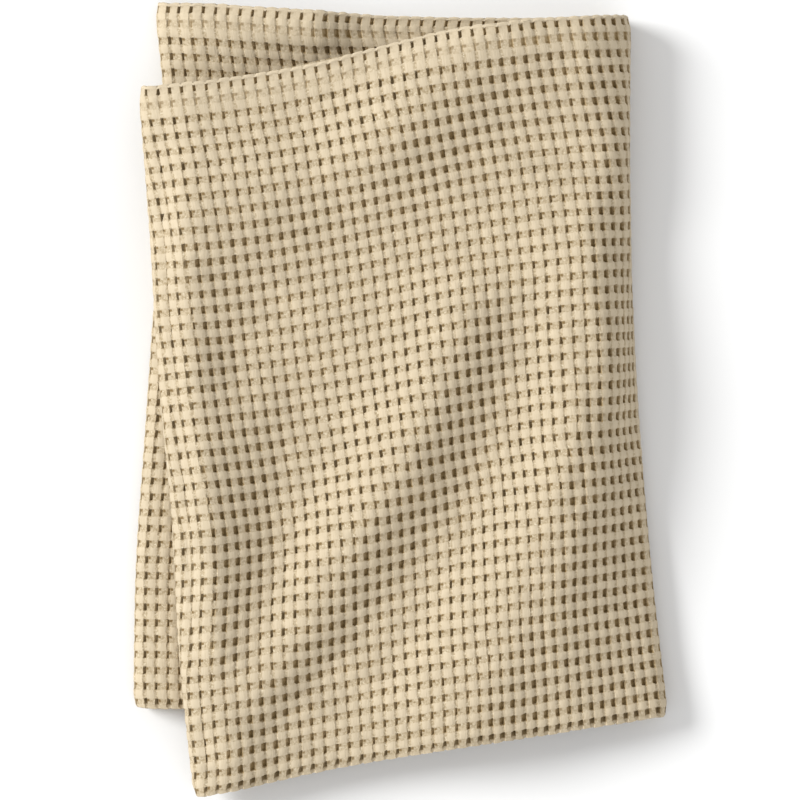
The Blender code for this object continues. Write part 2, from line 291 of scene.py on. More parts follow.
def section(along):
    """The doubled cloth's middle across the blanket, from one free side edge to the other, and three places
    on it: the lower half's left fold, the start of the right fold and the weave's middle column."""
    place = read_table(SECTIONS, SECTION_COLUMNS, along)
    fold = read_table(RIGHT_FOLD, RIGHT_FOLD_COLUMNS, along)
    to_end = min(along, 1 - along) * PANEL_LENGTH
    inset = PANEL_SKIN + CORNER_INSET * max(1 - to_end / CORNER_LENGTH, 0.0) ** 2
    right_x = place["right_x"] - inset
    left_x = {"front": place["front_x"] + inset, "back": place["back_x"] + inset}
    tip = fold["tip"]

    def row_y(half, x):
        """How far along the blanket a half's row lies at x."""
        share = (x - left_x[half]) / (right_x - left_x[half])
        straight = place[half + "_y"] + share * (place["right_y"] - place[half + "_y"])
        return straight + row_bend(share, place, half)

    def flat_run(half, panel, start, end, steps):
        x = np.linspace(start, end, steps, endpoint=False)
        y = row_y(half, x)
        return np.column_stack([x, y, panel_height(panel, x, y)])

    def fold_reach(half, lower_panel, upper_panel, reach):
        """A left fold's reach, less where its two panels lie too close for a full turn of the cloth."""
        x = np.array([left_x[half] + reach])
        y = row_y(half, x)
        half_height = (panel_height(upper_panel, x, y)[0] - panel_height(lower_panel, x, y)[0]) / 2
        return min(reach, half_height**2 / (PANEL_SKIN + TURN_SPARE))

    def small_fold(half, lower_panel, upper_panel, reach, steps):
        """A small left fold, from the panel above it round to the panel below."""
        centre = np.array([left_x[half] + reach])
        centre_y = row_y(half, centre)
        low = panel_height(lower_panel, centre, centre_y)
        high = panel_height(upper_panel, centre, centre_y)
        angle = np.linspace(0, np.pi, steps, endpoint=False)
        x = centre - reach * np.sin(angle)
        z = (low + high) / 2 + (high - low) / 2 * np.cos(angle)
        return np.column_stack([x, row_y(half, x), z])

    # The right fold's fall, from the top panel over its shoulder to where it touches the tip.
    top_x = right_x - fold["reach"]
    top_z = panel_height("front", np.array([top_x]), row_y("front", np.array([top_x])))[0]
    tip_x = right_x - tip
    tip_z = FLOOR_LEVEL + tip
    corner_x = top_x + fold["shoulder"]
    lean = math.atan2(top_z - tip_z, corner_x - tip_x)
    touch = lean - math.acos(tip / math.hypot(corner_x - tip_x, top_z - tip_z))
    touch_x = tip_x + tip * math.cos(touch)
    touch_z = tip_z + tip * math.sin(touch)

    def tip_turn(half, start, end, steps):
        angle = np.linspace(start, end, steps, endpoint=False)
        x = tip_x + tip * np.cos(angle)
        return np.column_stack([x, row_y(half, x), tip_z + tip * np.sin(angle)])

    share = np.linspace(1, 0, FALL_POINTS, endpoint=False)
    fall_x = top_x * (1 - share) ** 2 + corner_x * 2 * share * (1 - share) + touch_x * share**2
    fall_z = top_z * (1 - share**2) + touch_z * share**2
    fall = np.column_stack([fall_x, row_y("front", fall_x), fall_z])
    lower_turn = tip_turn("back", -math.pi / 2, 0, LOWER_TIP_POINTS)
    upper_turn = tip_turn("front", 0, touch, UPPER_TIP_POINTS)
    right_fold = np.concatenate([lower_turn, upper_turn, fall])

    def inner_end(half, panel):
        """How far right a panel inside the right fold reaches before the fold is too close."""
        x = np.linspace(top_x - PANEL_PITCH, right_x, END_POINTS)
        z = panel_height(panel, x, row_y(half, x))
        gap = np.hypot(x[:, None] - right_fold[:, 0], z[:, None] - right_fold[:, 2]).min(axis=1)
        return np.interp(0, PANEL_PITCH - np.minimum.accumulate(gap), x)

    back_reach = fold_reach("back", "bottom", "lower", BACK_FOLD_REACH)
    front_reach = fold_reach("front", "upper", "front", FRONT_FOLD_REACH)
    back_start = left_x["back"] + back_reach
    front_start = left_x["front"] + front_reach
    front = flat_run("front", "front", top_x, front_start, TOP_POINTS)
    runs = [
        flat_run("back", "lower", inner_end("back", "lower"), back_start, PANEL_POINTS),
        small_fold("back", "bottom", "lower", back_reach, SMALL_FOLD_POINTS),
        flat_run("back", "bottom", back_start, tip_x, PANEL_POINTS),
        right_fold,
        front,
        small_fold("front", "upper", "front", front_reach, SMALL_FOLD_POINTS),
        flat_run("front", "upper", front_start, inner_end("front", "upper"), PANEL_POINTS + 1),
    ]
    starts = np.cumsum([len(run) for run in runs])
    left_turn = starts[0] + len(runs[1]) // 2
    right_turn = starts[2]
    column = starts[3] + np.interp(-place["column"], -front[:, 0], np.arange(len(front)))
    return np.concatenate(runs), (left_turn, right_turn, column)


def unit(vectors):
    """The same vectors, each one long."""
    return vectors / np.linalg.norm(vectors, axis=-1, keepdims=True)


def directions(points, axis):
    """Direction of a grid of points along one of its axes: halfway between the steps on either side."""
    steps = unit(np.diff(points, axis=axis))
    first = steps.take([0], axis=axis)
    last = steps.take([-1], axis=axis)
    return unit(np.concatenate([first, steps], axis=axis) + np.concatenate([steps, last], axis=axis))


# The weave's cells, across the cloth and along it. The first pocket lies close to the hem's folded edge,
# the second is pulled shut by the stitching, and from the third on the rows are even.
CELL_WIDTH = 7.8
CELL_LENGTH = 9.97
HEM_ROWS = (3.8, 12.3, 23.2)
POCKET_ROWS = 45
# A cell starts at the side of its pocket's floor that lies nearer the right fold, and at the floor's far
# end. Across the cloth come the floor, the steep wall up to the rib or block, its two halves, and the
# steep wall down to the next pocket. The grooves between the blocks are a little wider and much shallower
# than the pockets.
CELL_STEPS = (0.0, 0.2, 0.4, 0.6, 0.8, 1.0)
CELL_PARTS = len(CELL_STEPS) - 1
RIB_BREAKS = (0.0, 0.12, 0.19, 0.55, 0.94, 1.0)
BLOCK_BREAKS = (0.01, 0.13, 0.23, 0.57, 0.90, 1.01)
BREAKS_ALONG = (0.0, 0.34, 0.43, 0.69, 0.93, 1.0)
# Depths below the top of the blocks at those breaks, a row for each break along the cloth: first the
# pocket's floor and the rib beside it, then the shallow groove between two pockets and the smooth block
# beside it.
CELL_DEPTHS = (
    (2.30, 2.10, 0.50, 0.35, 0.45),
    (2.30, 2.10, 0.50, 0.35, 0.45),
    (0.80, 0.75, 0.24, 0.12, 0.24),
    (0.65, 0.60, 0.14, 0.00, 0.14),
    (0.75, 0.70, 0.27, 0.15, 0.27),
)
POCKET_STEPS = 2
MEAN_DEPTH = 0.5
HEM_DEPTH = 0.25
# Rows of cells that differ: the one with the hem's first pockets, and the one that the stitching pulls
# shut, to this share of its depth. The last row runs over the near fold, and its pockets' near ends are
# shallower.
FIRST_ROW = 1
STITCHED_ROW = 2
STITCHED_SHARE = 0.50
TURN_SHARE = 0.7
# The hem's edge bulges between the pockets of its first row, at each of a cell's steps across.
HEM_BULGE = (-0.55, -0.55, 0.10, 0.35, 0.10)
HEM_BULGE_REACH = 5.0
# Where the cloth falls away to the right and towards the near fold its pockets gape: their floors sink by
# this share and their walls move apart by these shares of a cell, at each of a cell's steps across and
# along. The pockets of the hem's first row are as long.
GAPE_SINK = 0.25
GAPE_DIRECTION = (0.88, -0.47, 0.0)
GAPE_SLOPE = 0.30
GAPE_ACROSS = (0.0, 0.13, 0.21, 0.07, 0.0)
GAPE_ALONG = (0.0, 0.07, 0.07, 0.02, 0.0)
# How much a pocket's depth varies from cell to cell, and how far in millimetres each yarn and each whole
# cell lies from its even place.
DEPTH_SPREAD = 0.12
YARN_PLAY = 0.22
CELL_PLAY = 0.17
# The hems' folded ends are rounded over this distance, down to this half thickness.
EDGE_ROUND = 2.0
EDGE_HALF = 0.5

# How the cloth runs: half its length lies outside, from the hem to the near fold, a short turn joins it to
# the inside half, and the inside half runs back to the other hem.
OUTER_LENGTH = PANEL_LENGTH - PANEL_SKIN
TURN_LENGTH = math.pi * HALF_PITCH
CLOTH_LENGTH = 2 * OUTER_LENGTH + TURN_LENGTH

# Rows of cells start at these distances from the outer hem. The inside half, whose cells never show, takes
# two of them at a time.
HIDDEN_ROWS = 2
EVEN_FROM = len(HEM_ROWS) - 1
row_starts = [0.0]
for pocket in range(POCKET_ROWS + 1):
    centre = HEM_ROWS[min(pocket, EVEN_FROM)] + max(pocket - EVEN_FROM, 0) * CELL_LENGTH
    row_starts.append(centre - BREAKS_ALONG[1] / 2 * CELL_LENGTH)
TURN_ROW = len(row_starts) - 2
while row_starts[-1] < CLOTH_LENGTH - (HIDDEN_ROWS + 1) * CELL_LENGTH:
    row_starts.append(row_starts[-1] + HIDDEN_ROWS * CELL_LENGTH)
row_starts = np.array([*row_starts, CLOTH_LENGTH])

# Columns of cells are counted from the weave's middle column, which lies on the top panel. The bottom
# panel and the inner upper panel never show, and take three cells at a time.
FIRST_COLUMN = -97
LAST_COLUMN = 49
BOTTOM_PANEL = (-58, -28)
INNER_PANEL = (25, LAST_COLUMN + 1)
HIDDEN_COLUMNS = 3
columns = [
    *range(FIRST_COLUMN, BOTTOM_PANEL[0]),
    *range(*BOTTOM_PANEL, HIDDEN_COLUMNS),
    *range(BOTTOM_PANEL[1], INNER_PANEL[0]),
    *range(*INNER_PANEL, HIDDEN_COLUMNS),
]
column_starts = np.array(columns) * CELL_WIDTH
# Where the folds lie among the columns, and the stretch between them that shows from outside. The lower
# half's left fold follows one column.
BACK_FOLD_COLUMN = -64.5
LEFT_FOLD = (-67, -59)
LAST_FOLD = (-28, -15)
FRONT_FOLD = (15, 24)
SHOWN = (-28, 24)
# The cloth's direction at a section is taken between sections this far from it, in millimetres.
NUDGE = 0.5


def middle_rows(alongs, across):
    """Points of the doubled cloth's middle: a row of points for each section, at distances across the cloth
    that are measured on its outer sheet from the weave's middle column."""
    rows = []
    for along in alongs:
        path, (left_turn, right_turn, column) = section(along)
        steps = directions(path, 0)
        outward = np.column_stack([steps[:, 2], np.zeros(len(steps)), -steps[:, 0]])
        outer = path + HALF_PITCH * unit(outward)
        travelled = np.concatenate([[0], np.cumsum(np.linalg.norm(np.diff(outer, axis=0), axis=1))])
        travelled -= np.interp(column, np.arange(len(path)), travelled)
        drawn = read_table(RIGHT_FOLD, RIGHT_FOLD_COLUMNS, along)["drawn"]
        travelled *= 1 + drawn * smooth_step(-travelled / DRAWN_OVER)
        shift = BACK_FOLD_COLUMN * CELL_WIDTH - travelled[left_turn]
        bottom_share = (travelled - travelled[right_turn]) / (travelled[left_turn] - travelled[right_turn])
        travelled += shift * np.clip(bottom_share, 0, 1)
        rows.append(np.column_stack([np.interp(across, travelled, path[:, axis]) for axis in range(3)]))
    return np.array(rows)


def lay_cloth(across, lengths):
    """The sheet's middle, its outward direction, and its two directions along the yarns, for every pair of
    a distance across and a length from the outer hem."""
    inside = lengths > OUTER_LENGTH + TURN_LENGTH
    from_hem = np.where(inside, CLOTH_LENGTH - lengths, np.minimum(lengths, OUTER_LENGTH))
    alongs = 1 - from_hem / PANEL_LENGTH
    nudge = NUDGE / PANEL_LENGTH
    middles = middle_rows(alongs, across)
    run = directions(middles, 1)
    further = middle_rows(np.minimum(alongs + nudge, 1), across)
    nearer = middle_rows(alongs - nudge, across)
    rise = unit(further - nearer)
    normal = unit(np.cross(rise, run))
    turned = np.clip((lengths - OUTER_LENGTH) / TURN_LENGTH, 0, 1) * np.pi
    turned = turned[:, None, None]
    outward = normal * np.cos(turned) - rise * np.sin(turned)
    return middles + HALF_PITCH * outward, outward, run, rise


# The cloth laid flat: a grid with a face for each cell, then given its thickness.
bpy.ops.object.select_all(action="DESELECT")
column_count = len(column_starts) - 1
row_count = len(row_starts) - 1
bpy.ops.mesh.primitive_grid_add(x_subdivisions=column_count, y_subdivisions=row_count, size=1)
cloth = bpy.context.object
cloth.name = "blanket_cloth"


def read_points(mesh):
    """A mesh's points as an array."""
    points = np.empty(len(mesh.vertices) * 3)
    mesh.vertices.foreach_get("co", points)
    return points.reshape(-1, 3)


def write_points(mesh, points):
    mesh.vertices.foreach_set("co", np.ascontiguousarray(points).ravel())
    mesh.update()


flat = read_points(cloth.data)
flat[:, 0] = column_starts[np.rint((flat[:, 0] + 0.5) * column_count).astype(int)]
flat[:, 1] = row_starts[np.rint((flat[:, 1] + 0.5) * row_count).astype(int)]
write_points(cloth.data, flat)
thickness = cloth.modifiers.new("Thickness", "SOLIDIFY")
thickness.thickness = SHEET_THICKNESS
thickness.offset = 0
bpy.ops.object.modifier_apply(modifier=thickness.name)

# Which cells show from outside: the right fold, the top panel and its left fold, and of the lower half
# what the upper half leaves bare, which is its left side and the wedge beyond the upper half's hem. The
# turn of its left fold always shows.
BARE_MARGIN = 12.0
BARE_TURN = (-65, LEFT_FOLD[1])
centres = np.empty(len(cloth.data.polygons) * 3)
cloth.data.polygons.foreach_get("center", centres)
centres = centres.reshape(-1, 3)
cell_columns = np.searchsorted(column_starts, centres[:, 0]) - 1
cell_rows = np.searchsorted(row_starts, centres[:, 1]) - 1
place_across = centres[:, 0] / CELL_WIDTH
outside = centres[:, 2] > HALF_SHEET / 2
reverse = centres[:, 2] < -HALF_SHEET / 2


def between(run):
    return (place_across > run[0]) & (place_across < run[1])


row_middles = np.minimum((row_starts[:TURN_ROW + 1] + row_starts[1:TURN_ROW + 2]) / 2, OUTER_LENGTH)
column_middles = (column_starts[:-1] + column_starts[1:]) / 2
spots = middle_rows(1 - row_middles / PANEL_LENGTH, column_middles)
upper_side = left_side("front", spots[..., 1])
far = dict(zip(SECTION_COLUMNS, SECTIONS[-1]))
far_share = (spots[..., 0] - far["front_x"]) / (far["right_x"] - far["front_x"])
upper_hem = far["front_y"] + far_share * (far["right_y"] - far["front_y"])
uncovered = (spots[..., 0] < upper_side + BARE_MARGIN) | (spots[..., 1] > upper_hem - BARE_MARGIN)
outer_half = cell_rows <= TURN_ROW
uncovered = uncovered[np.minimum(cell_rows, TURN_ROW), np.clip(cell_columns, 0, len(column_middles) - 1)]
bare = between((FIRST_COLUMN, LEFT_FOLD[1])) & (uncovered | between(BARE_TURN))
shown = outside & outer_half & (between(SHOWN) | bare)

# A cell that shows is cut into five parts each way. So is the rest of the near fold's turn. A cell that
# goes round a fold out of sight is cut into two.
PLAIN, EASED, TURNED, DETAILED = range(4)
kinds = np.full(len(centres), PLAIN)
kinds[(outside | reverse) & (between(LEFT_FOLD) | between(LAST_FOLD) | between(FRONT_FOLD))] = EASED
kinds[outside & (cell_rows == TURN_ROW)] = TURNED
kinds[shown] = DETAILED
kind = cloth.data.attributes.new("kind", "INT", "FACE")
kind.data.foreach_set("value", kinds)


def read_kinds(mesh):
    values = np.empty(len(mesh.polygons), dtype=int)
    mesh.attributes["kind"].data.foreach_get("value", values)
    return values


def corner_counts(mesh):
    counts = np.empty(len(mesh.polygons), dtype=int)
    mesh.polygons.foreach_get("loop_total", counts)
    return counts


def cut_faces(mesh, chosen, parts):
    """Cuts the chosen faces of the cloth into even parts each way."""
    bpy.ops.object.mode_set(mode="EDIT")
    bpy.ops.mesh.select_mode(type="FACE")
    bpy.ops.mesh.select_all(action="DESELECT")
    bpy.ops.object.mode_set(mode="OBJECT")
    mesh.polygons.foreach_set("select", chosen)
    bpy.ops.object.mode_set(mode="EDIT")
    bpy.ops.mesh.subdivide(number_cuts=parts - 1, smoothness=0, ngon=True, quadcorner="STRAIGHT_CUT")
    bpy.ops.object.mode_set(mode="OBJECT")


EASED_PARTS = 2
QUAD = 4
cut_faces(cloth.data, kinds >= TURNED, CELL_PARTS)
cut_faces(cloth.data, (read_kinds(cloth.data) == EASED) & (corner_counts(cloth.data) == QUAD), EASED_PARTS)


def points_of(mesh, chosen):
    """Marks the points that the chosen faces have."""
    corners = np.empty(len(mesh.loops), dtype=int)
    mesh.loops.foreach_get("vertex_index", corners)
    picked = np.zeros(len(mesh.vertices), dtype=bool)
    picked[corners[np.repeat(chosen, corner_counts(mesh))]] = True
    return picked


# The even steps of a cell move to its pocket's floor, walls, ribs and blocks.
flat = read_points(cloth.data)
detailed = points_of(cloth.data, read_kinds(cloth.data) == DETAILED)
stepped = points_of(cloth.data, read_kinds(cloth.data) >= TURNED)
NEAR = 1e-3
column = np.floor(flat[:, 0] / CELL_WIDTH + NEAR)
share_across = flat[:, 0] / CELL_WIDTH - column
step_across = np.rint(share_across * CELL_PARTS).astype(int) % CELL_PARTS
row = np.clip(np.searchsorted(row_starts, flat[:, 1] + NEAR) - 1, 0, len(row_starts) - 2)
row_size = np.diff(row_starts)[row]
share_along = (flat[:, 1] - row_starts[row]) / row_size
step_along = np.rint(share_along * CELL_PARTS).astype(int) % CELL_PARTS
share_along = np.where(stepped & (row > 0), np.interp(share_along, CELL_STEPS, BREAKS_ALONG), share_along)
lengths = row_starts[row] + share_along * row_size
on_rib = np.interp(share_across, CELL_STEPS, RIB_BREAKS)
on_block = np.interp(share_across, CELL_STEPS, BLOCK_BREAKS)
share_across = np.where(detailed, np.where(step_along < POCKET_STEPS, on_rib, on_block), share_across)
across = (column + share_across) * CELL_WIDTH

# How deep each point lies below the top of the weave's blocks.
WEAVE_SEED = 7
random = np.random.default_rng(WEAVE_SEED)
cell_grid = (len(row_starts) + 1, LAST_COLUMN - FIRST_COLUMN + 2)
in_grid = (row, (column - FIRST_COLUMN).astype(int))
cell_depth = (1 + DEPTH_SPREAD * random.uniform(-1, 1, cell_grid))[in_grid]
row_share = np.where(row == STITCHED_ROW, STITCHED_SHARE, 1.0)
row_share = np.where((row == TURN_ROW) & (step_along == 1), TURN_SHARE, row_share)
depth = np.array(CELL_DEPTHS)[step_along, step_across] * cell_depth * row_share
depth = np.where(row == 0, HEM_DEPTH, depth)
depth = np.where(detailed, depth, MEAN_DEPTH)

# The cloth's level at each point: its outer face, its reverse, and the rounding along its hems.
edge_distance = np.minimum(lengths, CLOTH_LENGTH - lengths)
edge_share = np.clip(1 - edge_distance / EDGE_ROUND, 0, 1)
edge_level = EDGE_HALF + (HALF_SHEET - EDGE_HALF) * np.sqrt(1 - edge_share**2)
is_outer = flat[:, 2] > 0
level = np.where(is_outer, np.minimum(HALF_SHEET - depth, edge_level), -edge_level)

# The sheet is laid along the folds, and its yarns moved a little each way. Points that share a distance
# across or a length, to this many decimals of a millimetre, are laid together.
DECIMALS = 4
across_list, across_index = np.unique(np.round(across, DECIMALS), return_inverse=True)
length_list, length_index = np.unique(np.round(lengths, DECIMALS), return_inverse=True)
at_point = (length_index, across_index)
laid_grid = lay_cloth(across_list, length_list)
sheet_middle, outward, run_across, run_along = (values[at_point] for values in laid_grid)
laid = sheet_middle + level[:, None] * outward
cell_play = CELL_PLAY * random.uniform(-1, 1, (*cell_grid, 2))
play = YARN_PLAY * random.uniform(-1, 1, (len(flat), 2)) + cell_play[in_grid]
play *= detailed[:, None]
play[:, 1] += np.array(HEM_BULGE)[step_across] * detailed * np.clip(1 - lengths / HEM_BULGE_REACH, 0, 1)
turned_away = outward @ np.array(GAPE_DIRECTION) / GAPE_SLOPE * detailed
pocket_rows = step_along < POCKET_STEPS
gape = np.where(step_along < POCKET_STEPS + 1, smooth_step(turned_away), 0)
sunk = gape * GAPE_SINK * depth * pocket_rows * (step_across < POCKET_STEPS)
laid -= sunk[:, None] * outward
lengthened = np.maximum(gape, (row == FIRST_ROW) & detailed)
play[:, 0] += gape * np.array(GAPE_ACROSS)[step_across] * CELL_WIDTH * pocket_rows
play[:, 1] -= lengthened * np.array(GAPE_ALONG)[step_along] * CELL_LENGTH
laid += play[:, :1] * run_across + play[:, 1:] * run_along
write_points(cloth.data, laid * MM)

# Each point's place in the weave, in cells, where the weave is modelled, and how far the cloth is turned
# away from the light there, from -1 to 1.
row_cells = np.arange(len(row_starts), dtype=float)
row_cells[TURN_ROW + 1:] += (HIDDEN_ROWS - 1) * np.arange(len(row_starts) - TURN_ROW - 1)
weave_place = np.column_stack([across / CELL_WIDTH, np.interp(lengths, row_starts, row_cells)])
corners = np.empty(len(cloth.data.loops), dtype=int)
cloth.data.loops.foreach_get("vertex_index", corners)
while cloth.data.uv_layers:
    cloth.data.uv_layers.remove(cloth.data.uv_layers[0])
weave_map = cloth.data.uv_layers.new(name="weave")
weave_map.data.foreach_set("uv", weave_place[corners].ravel())
modelled = cloth.data.attributes.new("modelled", "FLOAT", "POINT")
modelled.data.foreach_set("value", detailed.astype(float))
gaping = cloth.data.attributes.new("turned_away", "FLOAT", "POINT")
gaping.data.foreach_set("value", np.clip(turned_away, -1, 1))
bpy.ops.object.select_all(action="DESELECT")
cloth.select_set(True)
SMOOTH_ANGLE = math.radians(35)
bpy.ops.object.shade_smooth_by_angle(angle=SMOOTH_ANGLE)

# Unbleached cotton: smooth pale floats on the blocks, and round them a rougher mottled ground of ribs,
# grooves and pockets, with light slubs and small dark gaps between its yarns. The pockets carry painted
# shade and painted shadow: a dark bar down the side that their wall shades and a serif over their far
# end, with more painted shade at their near ends, more where the cloth turns from the light, and the most
# where it faces the light and in the last row.
BLOCK_COLOUR = (0.532, 0.446, 0.318, 1)
FLOAT_SHADE = (0.498, 0.413, 0.288, 1)
GROUND_COLOUR = (0.470, 0.385, 0.261, 1)
GROUND_SHADE = (0.355, 0.278, 0.172, 1)
SLUB_COLOUR = (0.61, 0.53, 0.39, 1)
GAP_COLOUR = (0.155, 0.105, 0.042, 1)
# Painted shadow: the dark bar down the side of a pocket that its wall shades.
POCKET_SHADE_COLOUR = (0.43, 0.325, 0.185, 1)
# Painted shadow: the serif over a pocket's far end.
SERIF_SHADOW_COLOUR = (0.18, 0.115, 0.042, 1)
# Painted shade deep in the pockets: at their near ends, along their shaded side, and where the cloth turns
# from the light.
DEEP_SHADE_COLOUR = (0.18, 0.115, 0.038, 1)
# The darkest painted shade, in pockets where the cloth faces the light and in the last row.
DARKEST_SHADE_COLOUR = (0.10, 0.067, 0.029, 1)
SHEEN_TINT = (1.0, 0.95, 0.85, 1)
ROUGHNESS = 0.92
SPECULAR = 0.25
SHEEN = 0.06
SHEEN_ROUGHNESS = 0.6

cotton = bpy.data.materials.new("waffle_cotton")
cotton.use_nodes = True
nodes = cotton.node_tree.nodes
links = cotton.node_tree.links
nodes.clear()
finish = nodes.new("ShaderNodeOutputMaterial")
surface = nodes.new("ShaderNodeBsdfPrincipled")
links.new(surface.outputs["BSDF"], finish.inputs["Surface"])
surface.inputs["Roughness"].default_value = ROUGHNESS
surface.inputs["Specular IOR Level"].default_value = SPECULAR
surface.inputs["Sheen Weight"].default_value = SHEEN
surface.inputs["Sheen Roughness"].default_value = SHEEN_ROUGHNESS
surface.inputs["Sheen Tint"].default_value = SHEEN_TINT


def join(value, socket):
    """Feeds a socket from another one, or gives it a number or a colour."""
    if isinstance(value, (int, float, tuple)):
        socket.default_value = value
    else:
        links.new(value, socket)


def work_out(operation, first, second):
    node = nodes.new("ShaderNodeMath")
    node.operation = operation
    join(first, node.inputs[0])
    join(second, node.inputs[1])
    return node.outputs[0]


def plus(first, second):
    return work_out("ADD", first, second)


def times(first, second):
    return work_out("MULTIPLY", first, second)


def less(value, share=1.0):
    """What a share of a value leaves of one."""
    return work_out("SUBTRACT", 1.0, times(value, share))


def carried(value, span, output):
    """Carries a value from one span to another."""
    node = nodes.new("ShaderNodeMapRange")
    join(value, node.inputs["Value"])
    node.inputs["From Min"].default_value, node.inputs["From Max"].default_value = span
    node.inputs["To Min"].default_value, node.inputs["To Max"].default_value = output
    return node


def fade(value, span):
    """Runs softly from 0 to 1 over a span of values."""
    node = carried(value, span, (0.0, 1.0))
    node.interpolation_type = "SMOOTHSTEP"
    return node.outputs["Result"]


def tint(amount, first, second):
    """The first colour, with an amount of the second one over it."""
    node = nodes.new("ShaderNodeMix")
    node.data_type = "RGBA"
    join(amount, node.inputs["Factor"])
    join(first, node.inputs["A"])
    join(second, node.inputs["B"])
    return node.outputs["Result"]


def noise(vector, grain, detail, roughness=0.5):
    node = nodes.new("ShaderNodeTexNoise")
    links.new(vector, node.inputs["Vector"])
    node.inputs["Scale"].default_value = grain
    node.inputs["Detail"].default_value = detail
    node.inputs["Roughness"].default_value = roughness
    return node.outputs["Fac"]


def point_value(name):
    """A value that the mesh's points carry."""
    node = nodes.new("ShaderNodeAttribute")
    node.attribute_name = name
    return node.outputs["Fac"]


weave = nodes.new("ShaderNodeUVMap")
weave.uv_map = "weave"
split = nodes.new("ShaderNodeSeparateXYZ")
links.new(weave.outputs["UV"], split.inputs["Vector"])
columns_run = split.outputs["X"]
rows_run = split.outputs["Y"]
place = nodes.new("ShaderNodeTexCoord").outputs["Object"]
# How far the cloth turns from the light and towards it. Where it turns away the pockets gape, and both set
# how much painted shade the pockets get.
gapes = work_out("MAXIMUM", point_value("turned_away"), 0.0)
turned_away_shade = times(gapes, gapes)
faces_light = work_out("MAXIMUM", times(point_value("turned_away"), -1.0), 0.0)

# Patches of a cell: the middle across and along it, how far they reach each way, and how soft their edge
# is. A pocket's dark bar is painted shadow down the side its wall shades, with painted shade deepest
# along that side. It has painted shade as a foot at its near end and a serif of painted shadow at its
# far end.
BLOCK = (0.57, 0.69, 0.335, 0.265, 0.05)
SHADOW_BAR = (0.08, 0.20, 0.14, 0.205, 0.04)
DEEPEST_SHADE = (0.03, 0.21, 0.06, 0.20, 0.05)
FOOT_SHADE = (0.055, 0.33, 0.085, 0.09, 0.06)
SERIF_SHADOW = (0.90, 0.055, 0.18, 0.078, 0.045)
# Whole cells added to the weave's place before its fraction is taken, so that it is never below zero.
CELLS_AHEAD = 200
# How ragged the patches' edges are: the grain of the fringe, how far it reaches in cells, and a serif's
# share.
FRINGE_GRAIN = 700.0
FRINGE_REACH = 0.16
SERIF_FRINGE = 0.6


def away_from(run, middle):
    """Distance in cells from the nearest cell's middle place, one way."""
    shifted = plus(run, CELLS_AHEAD + 0.5 - middle)
    return work_out("ABSOLUTE", work_out("SUBTRACT", work_out("FRACT", shifted, 0.0), 0.5), 0.0)


def patch(place_in_cell, ragged):
    """A soft-edged patch of each cell."""
    middle_across, middle_along, reach_across, reach_along, soft = place_in_cell
    across = plus(away_from(columns_run, middle_across), ragged)
    along = plus(away_from(rows_run, middle_along), ragged)
    in_columns = less(fade(across, (reach_across - soft, reach_across + soft)))
    in_rows = less(fade(along, (reach_along - soft, reach_along + soft)))
    return times(in_columns, in_rows)


# Where the weave changes along the cloth, in cells from the outer hem: it starts past the plain edge, its
# second row of pockets is stitched, and serifs of painted shadow and rough ground set in behind it. The
# last row's pockets get the darkest painted shade and end where the near fold turns, and the turn itself
# is smoother.
WEAVE_FROM = (0.94, 1.0)
STITCHED_FROM = (1.94, 2.0)
STITCHED_TO = (2.40, 2.50)
SERIFS_FROM = (1.50, 1.70)
ROUGH_FROM = (1.42, 1.50)
LAST_ROW_FROM = (TURN_ROW - 0.06, TURN_ROW)
TURN_FROM = (TURN_ROW + 0.22, TURN_ROW + 0.32)
TURN_TO = (TURN_ROW + 0.95, TURN_ROW + 1.0)
# How far the stitching closes and narrows its pockets and smooths the ground, how much of the serifs and
# of the rough ground the hem has, and how much of them is lost in gaping pockets and on the turn.
STITCHED_CLOSED = 0.35
STITCHED_NARROWED = 0.05
STITCHED_SMOOTH = 0.4
HEM_SERIFS = 0.3
HEM_ROUGH = 0.25
GAPE_SERIFS_LOST = 0.55
GAPE_SMOOTH = 0.25
TURN_SMOOTH = 0.5
past_hem = fade(rows_run, WEAVE_FROM)
stitched = times(times(fade(rows_run, STITCHED_FROM), less(fade(rows_run, STITCHED_TO))), less(gapes))
past_turn = fade(rows_run, TURN_TO)
last_row = work_out("SUBTRACT", fade(rows_run, LAST_ROW_FROM), past_turn)
into_turn = work_out("SUBTRACT", fade(rows_run, TURN_FROM), past_turn)
fringe = times(work_out("SUBTRACT", noise(place, FRINGE_GRAIN, 2), 0.5), FRINGE_REACH)
narrowed = plus(fringe, times(stitched, STITCHED_NARROWED))
open_share = times(times(past_hem, less(stitched, STITCHED_CLOSED)), less(into_turn))
block = patch(BLOCK, fringe)
# The dark bar is painted shadow. Its mask also sinks the pockets where the mesh doesn't model them.
pocket = times(patch(SHADOW_BAR, narrowed), open_share)
# Painted shade at the pocket's near end and along its shaded side.
foot_shade = times(patch(FOOT_SHADE, narrowed), open_share)
deepest_shade = times(patch(DEEPEST_SHADE, narrowed), open_share)
# The serif: painted shadow over the pocket's far end, fainter in the hem and where the cloth turns from the
# light.
serif_shadow = times(patch(SERIF_SHADOW, times(fringe, SERIF_FRINGE)), open_share)
serif_shadow = times(serif_shadow, plus(HEM_SERIFS, times(fade(rows_run, SERIFS_FROM), 1 - HEM_SERIFS)))
serif_shadow = times(serif_shadow, less(gapes, GAPE_SERIFS_LOST))
rough_share = plus(HEM_ROUGH, times(fade(rows_run, ROUGH_FROM), 1 - HEM_ROUGH))
for smoother, share in ((stitched, STITCHED_SMOOTH), (gapes, GAPE_SMOOTH), (into_turn, TURN_SMOOTH)):
    rough_share = times(rough_share, less(smoother, share))
ground = times(less(block), times(past_hem, rough_share))

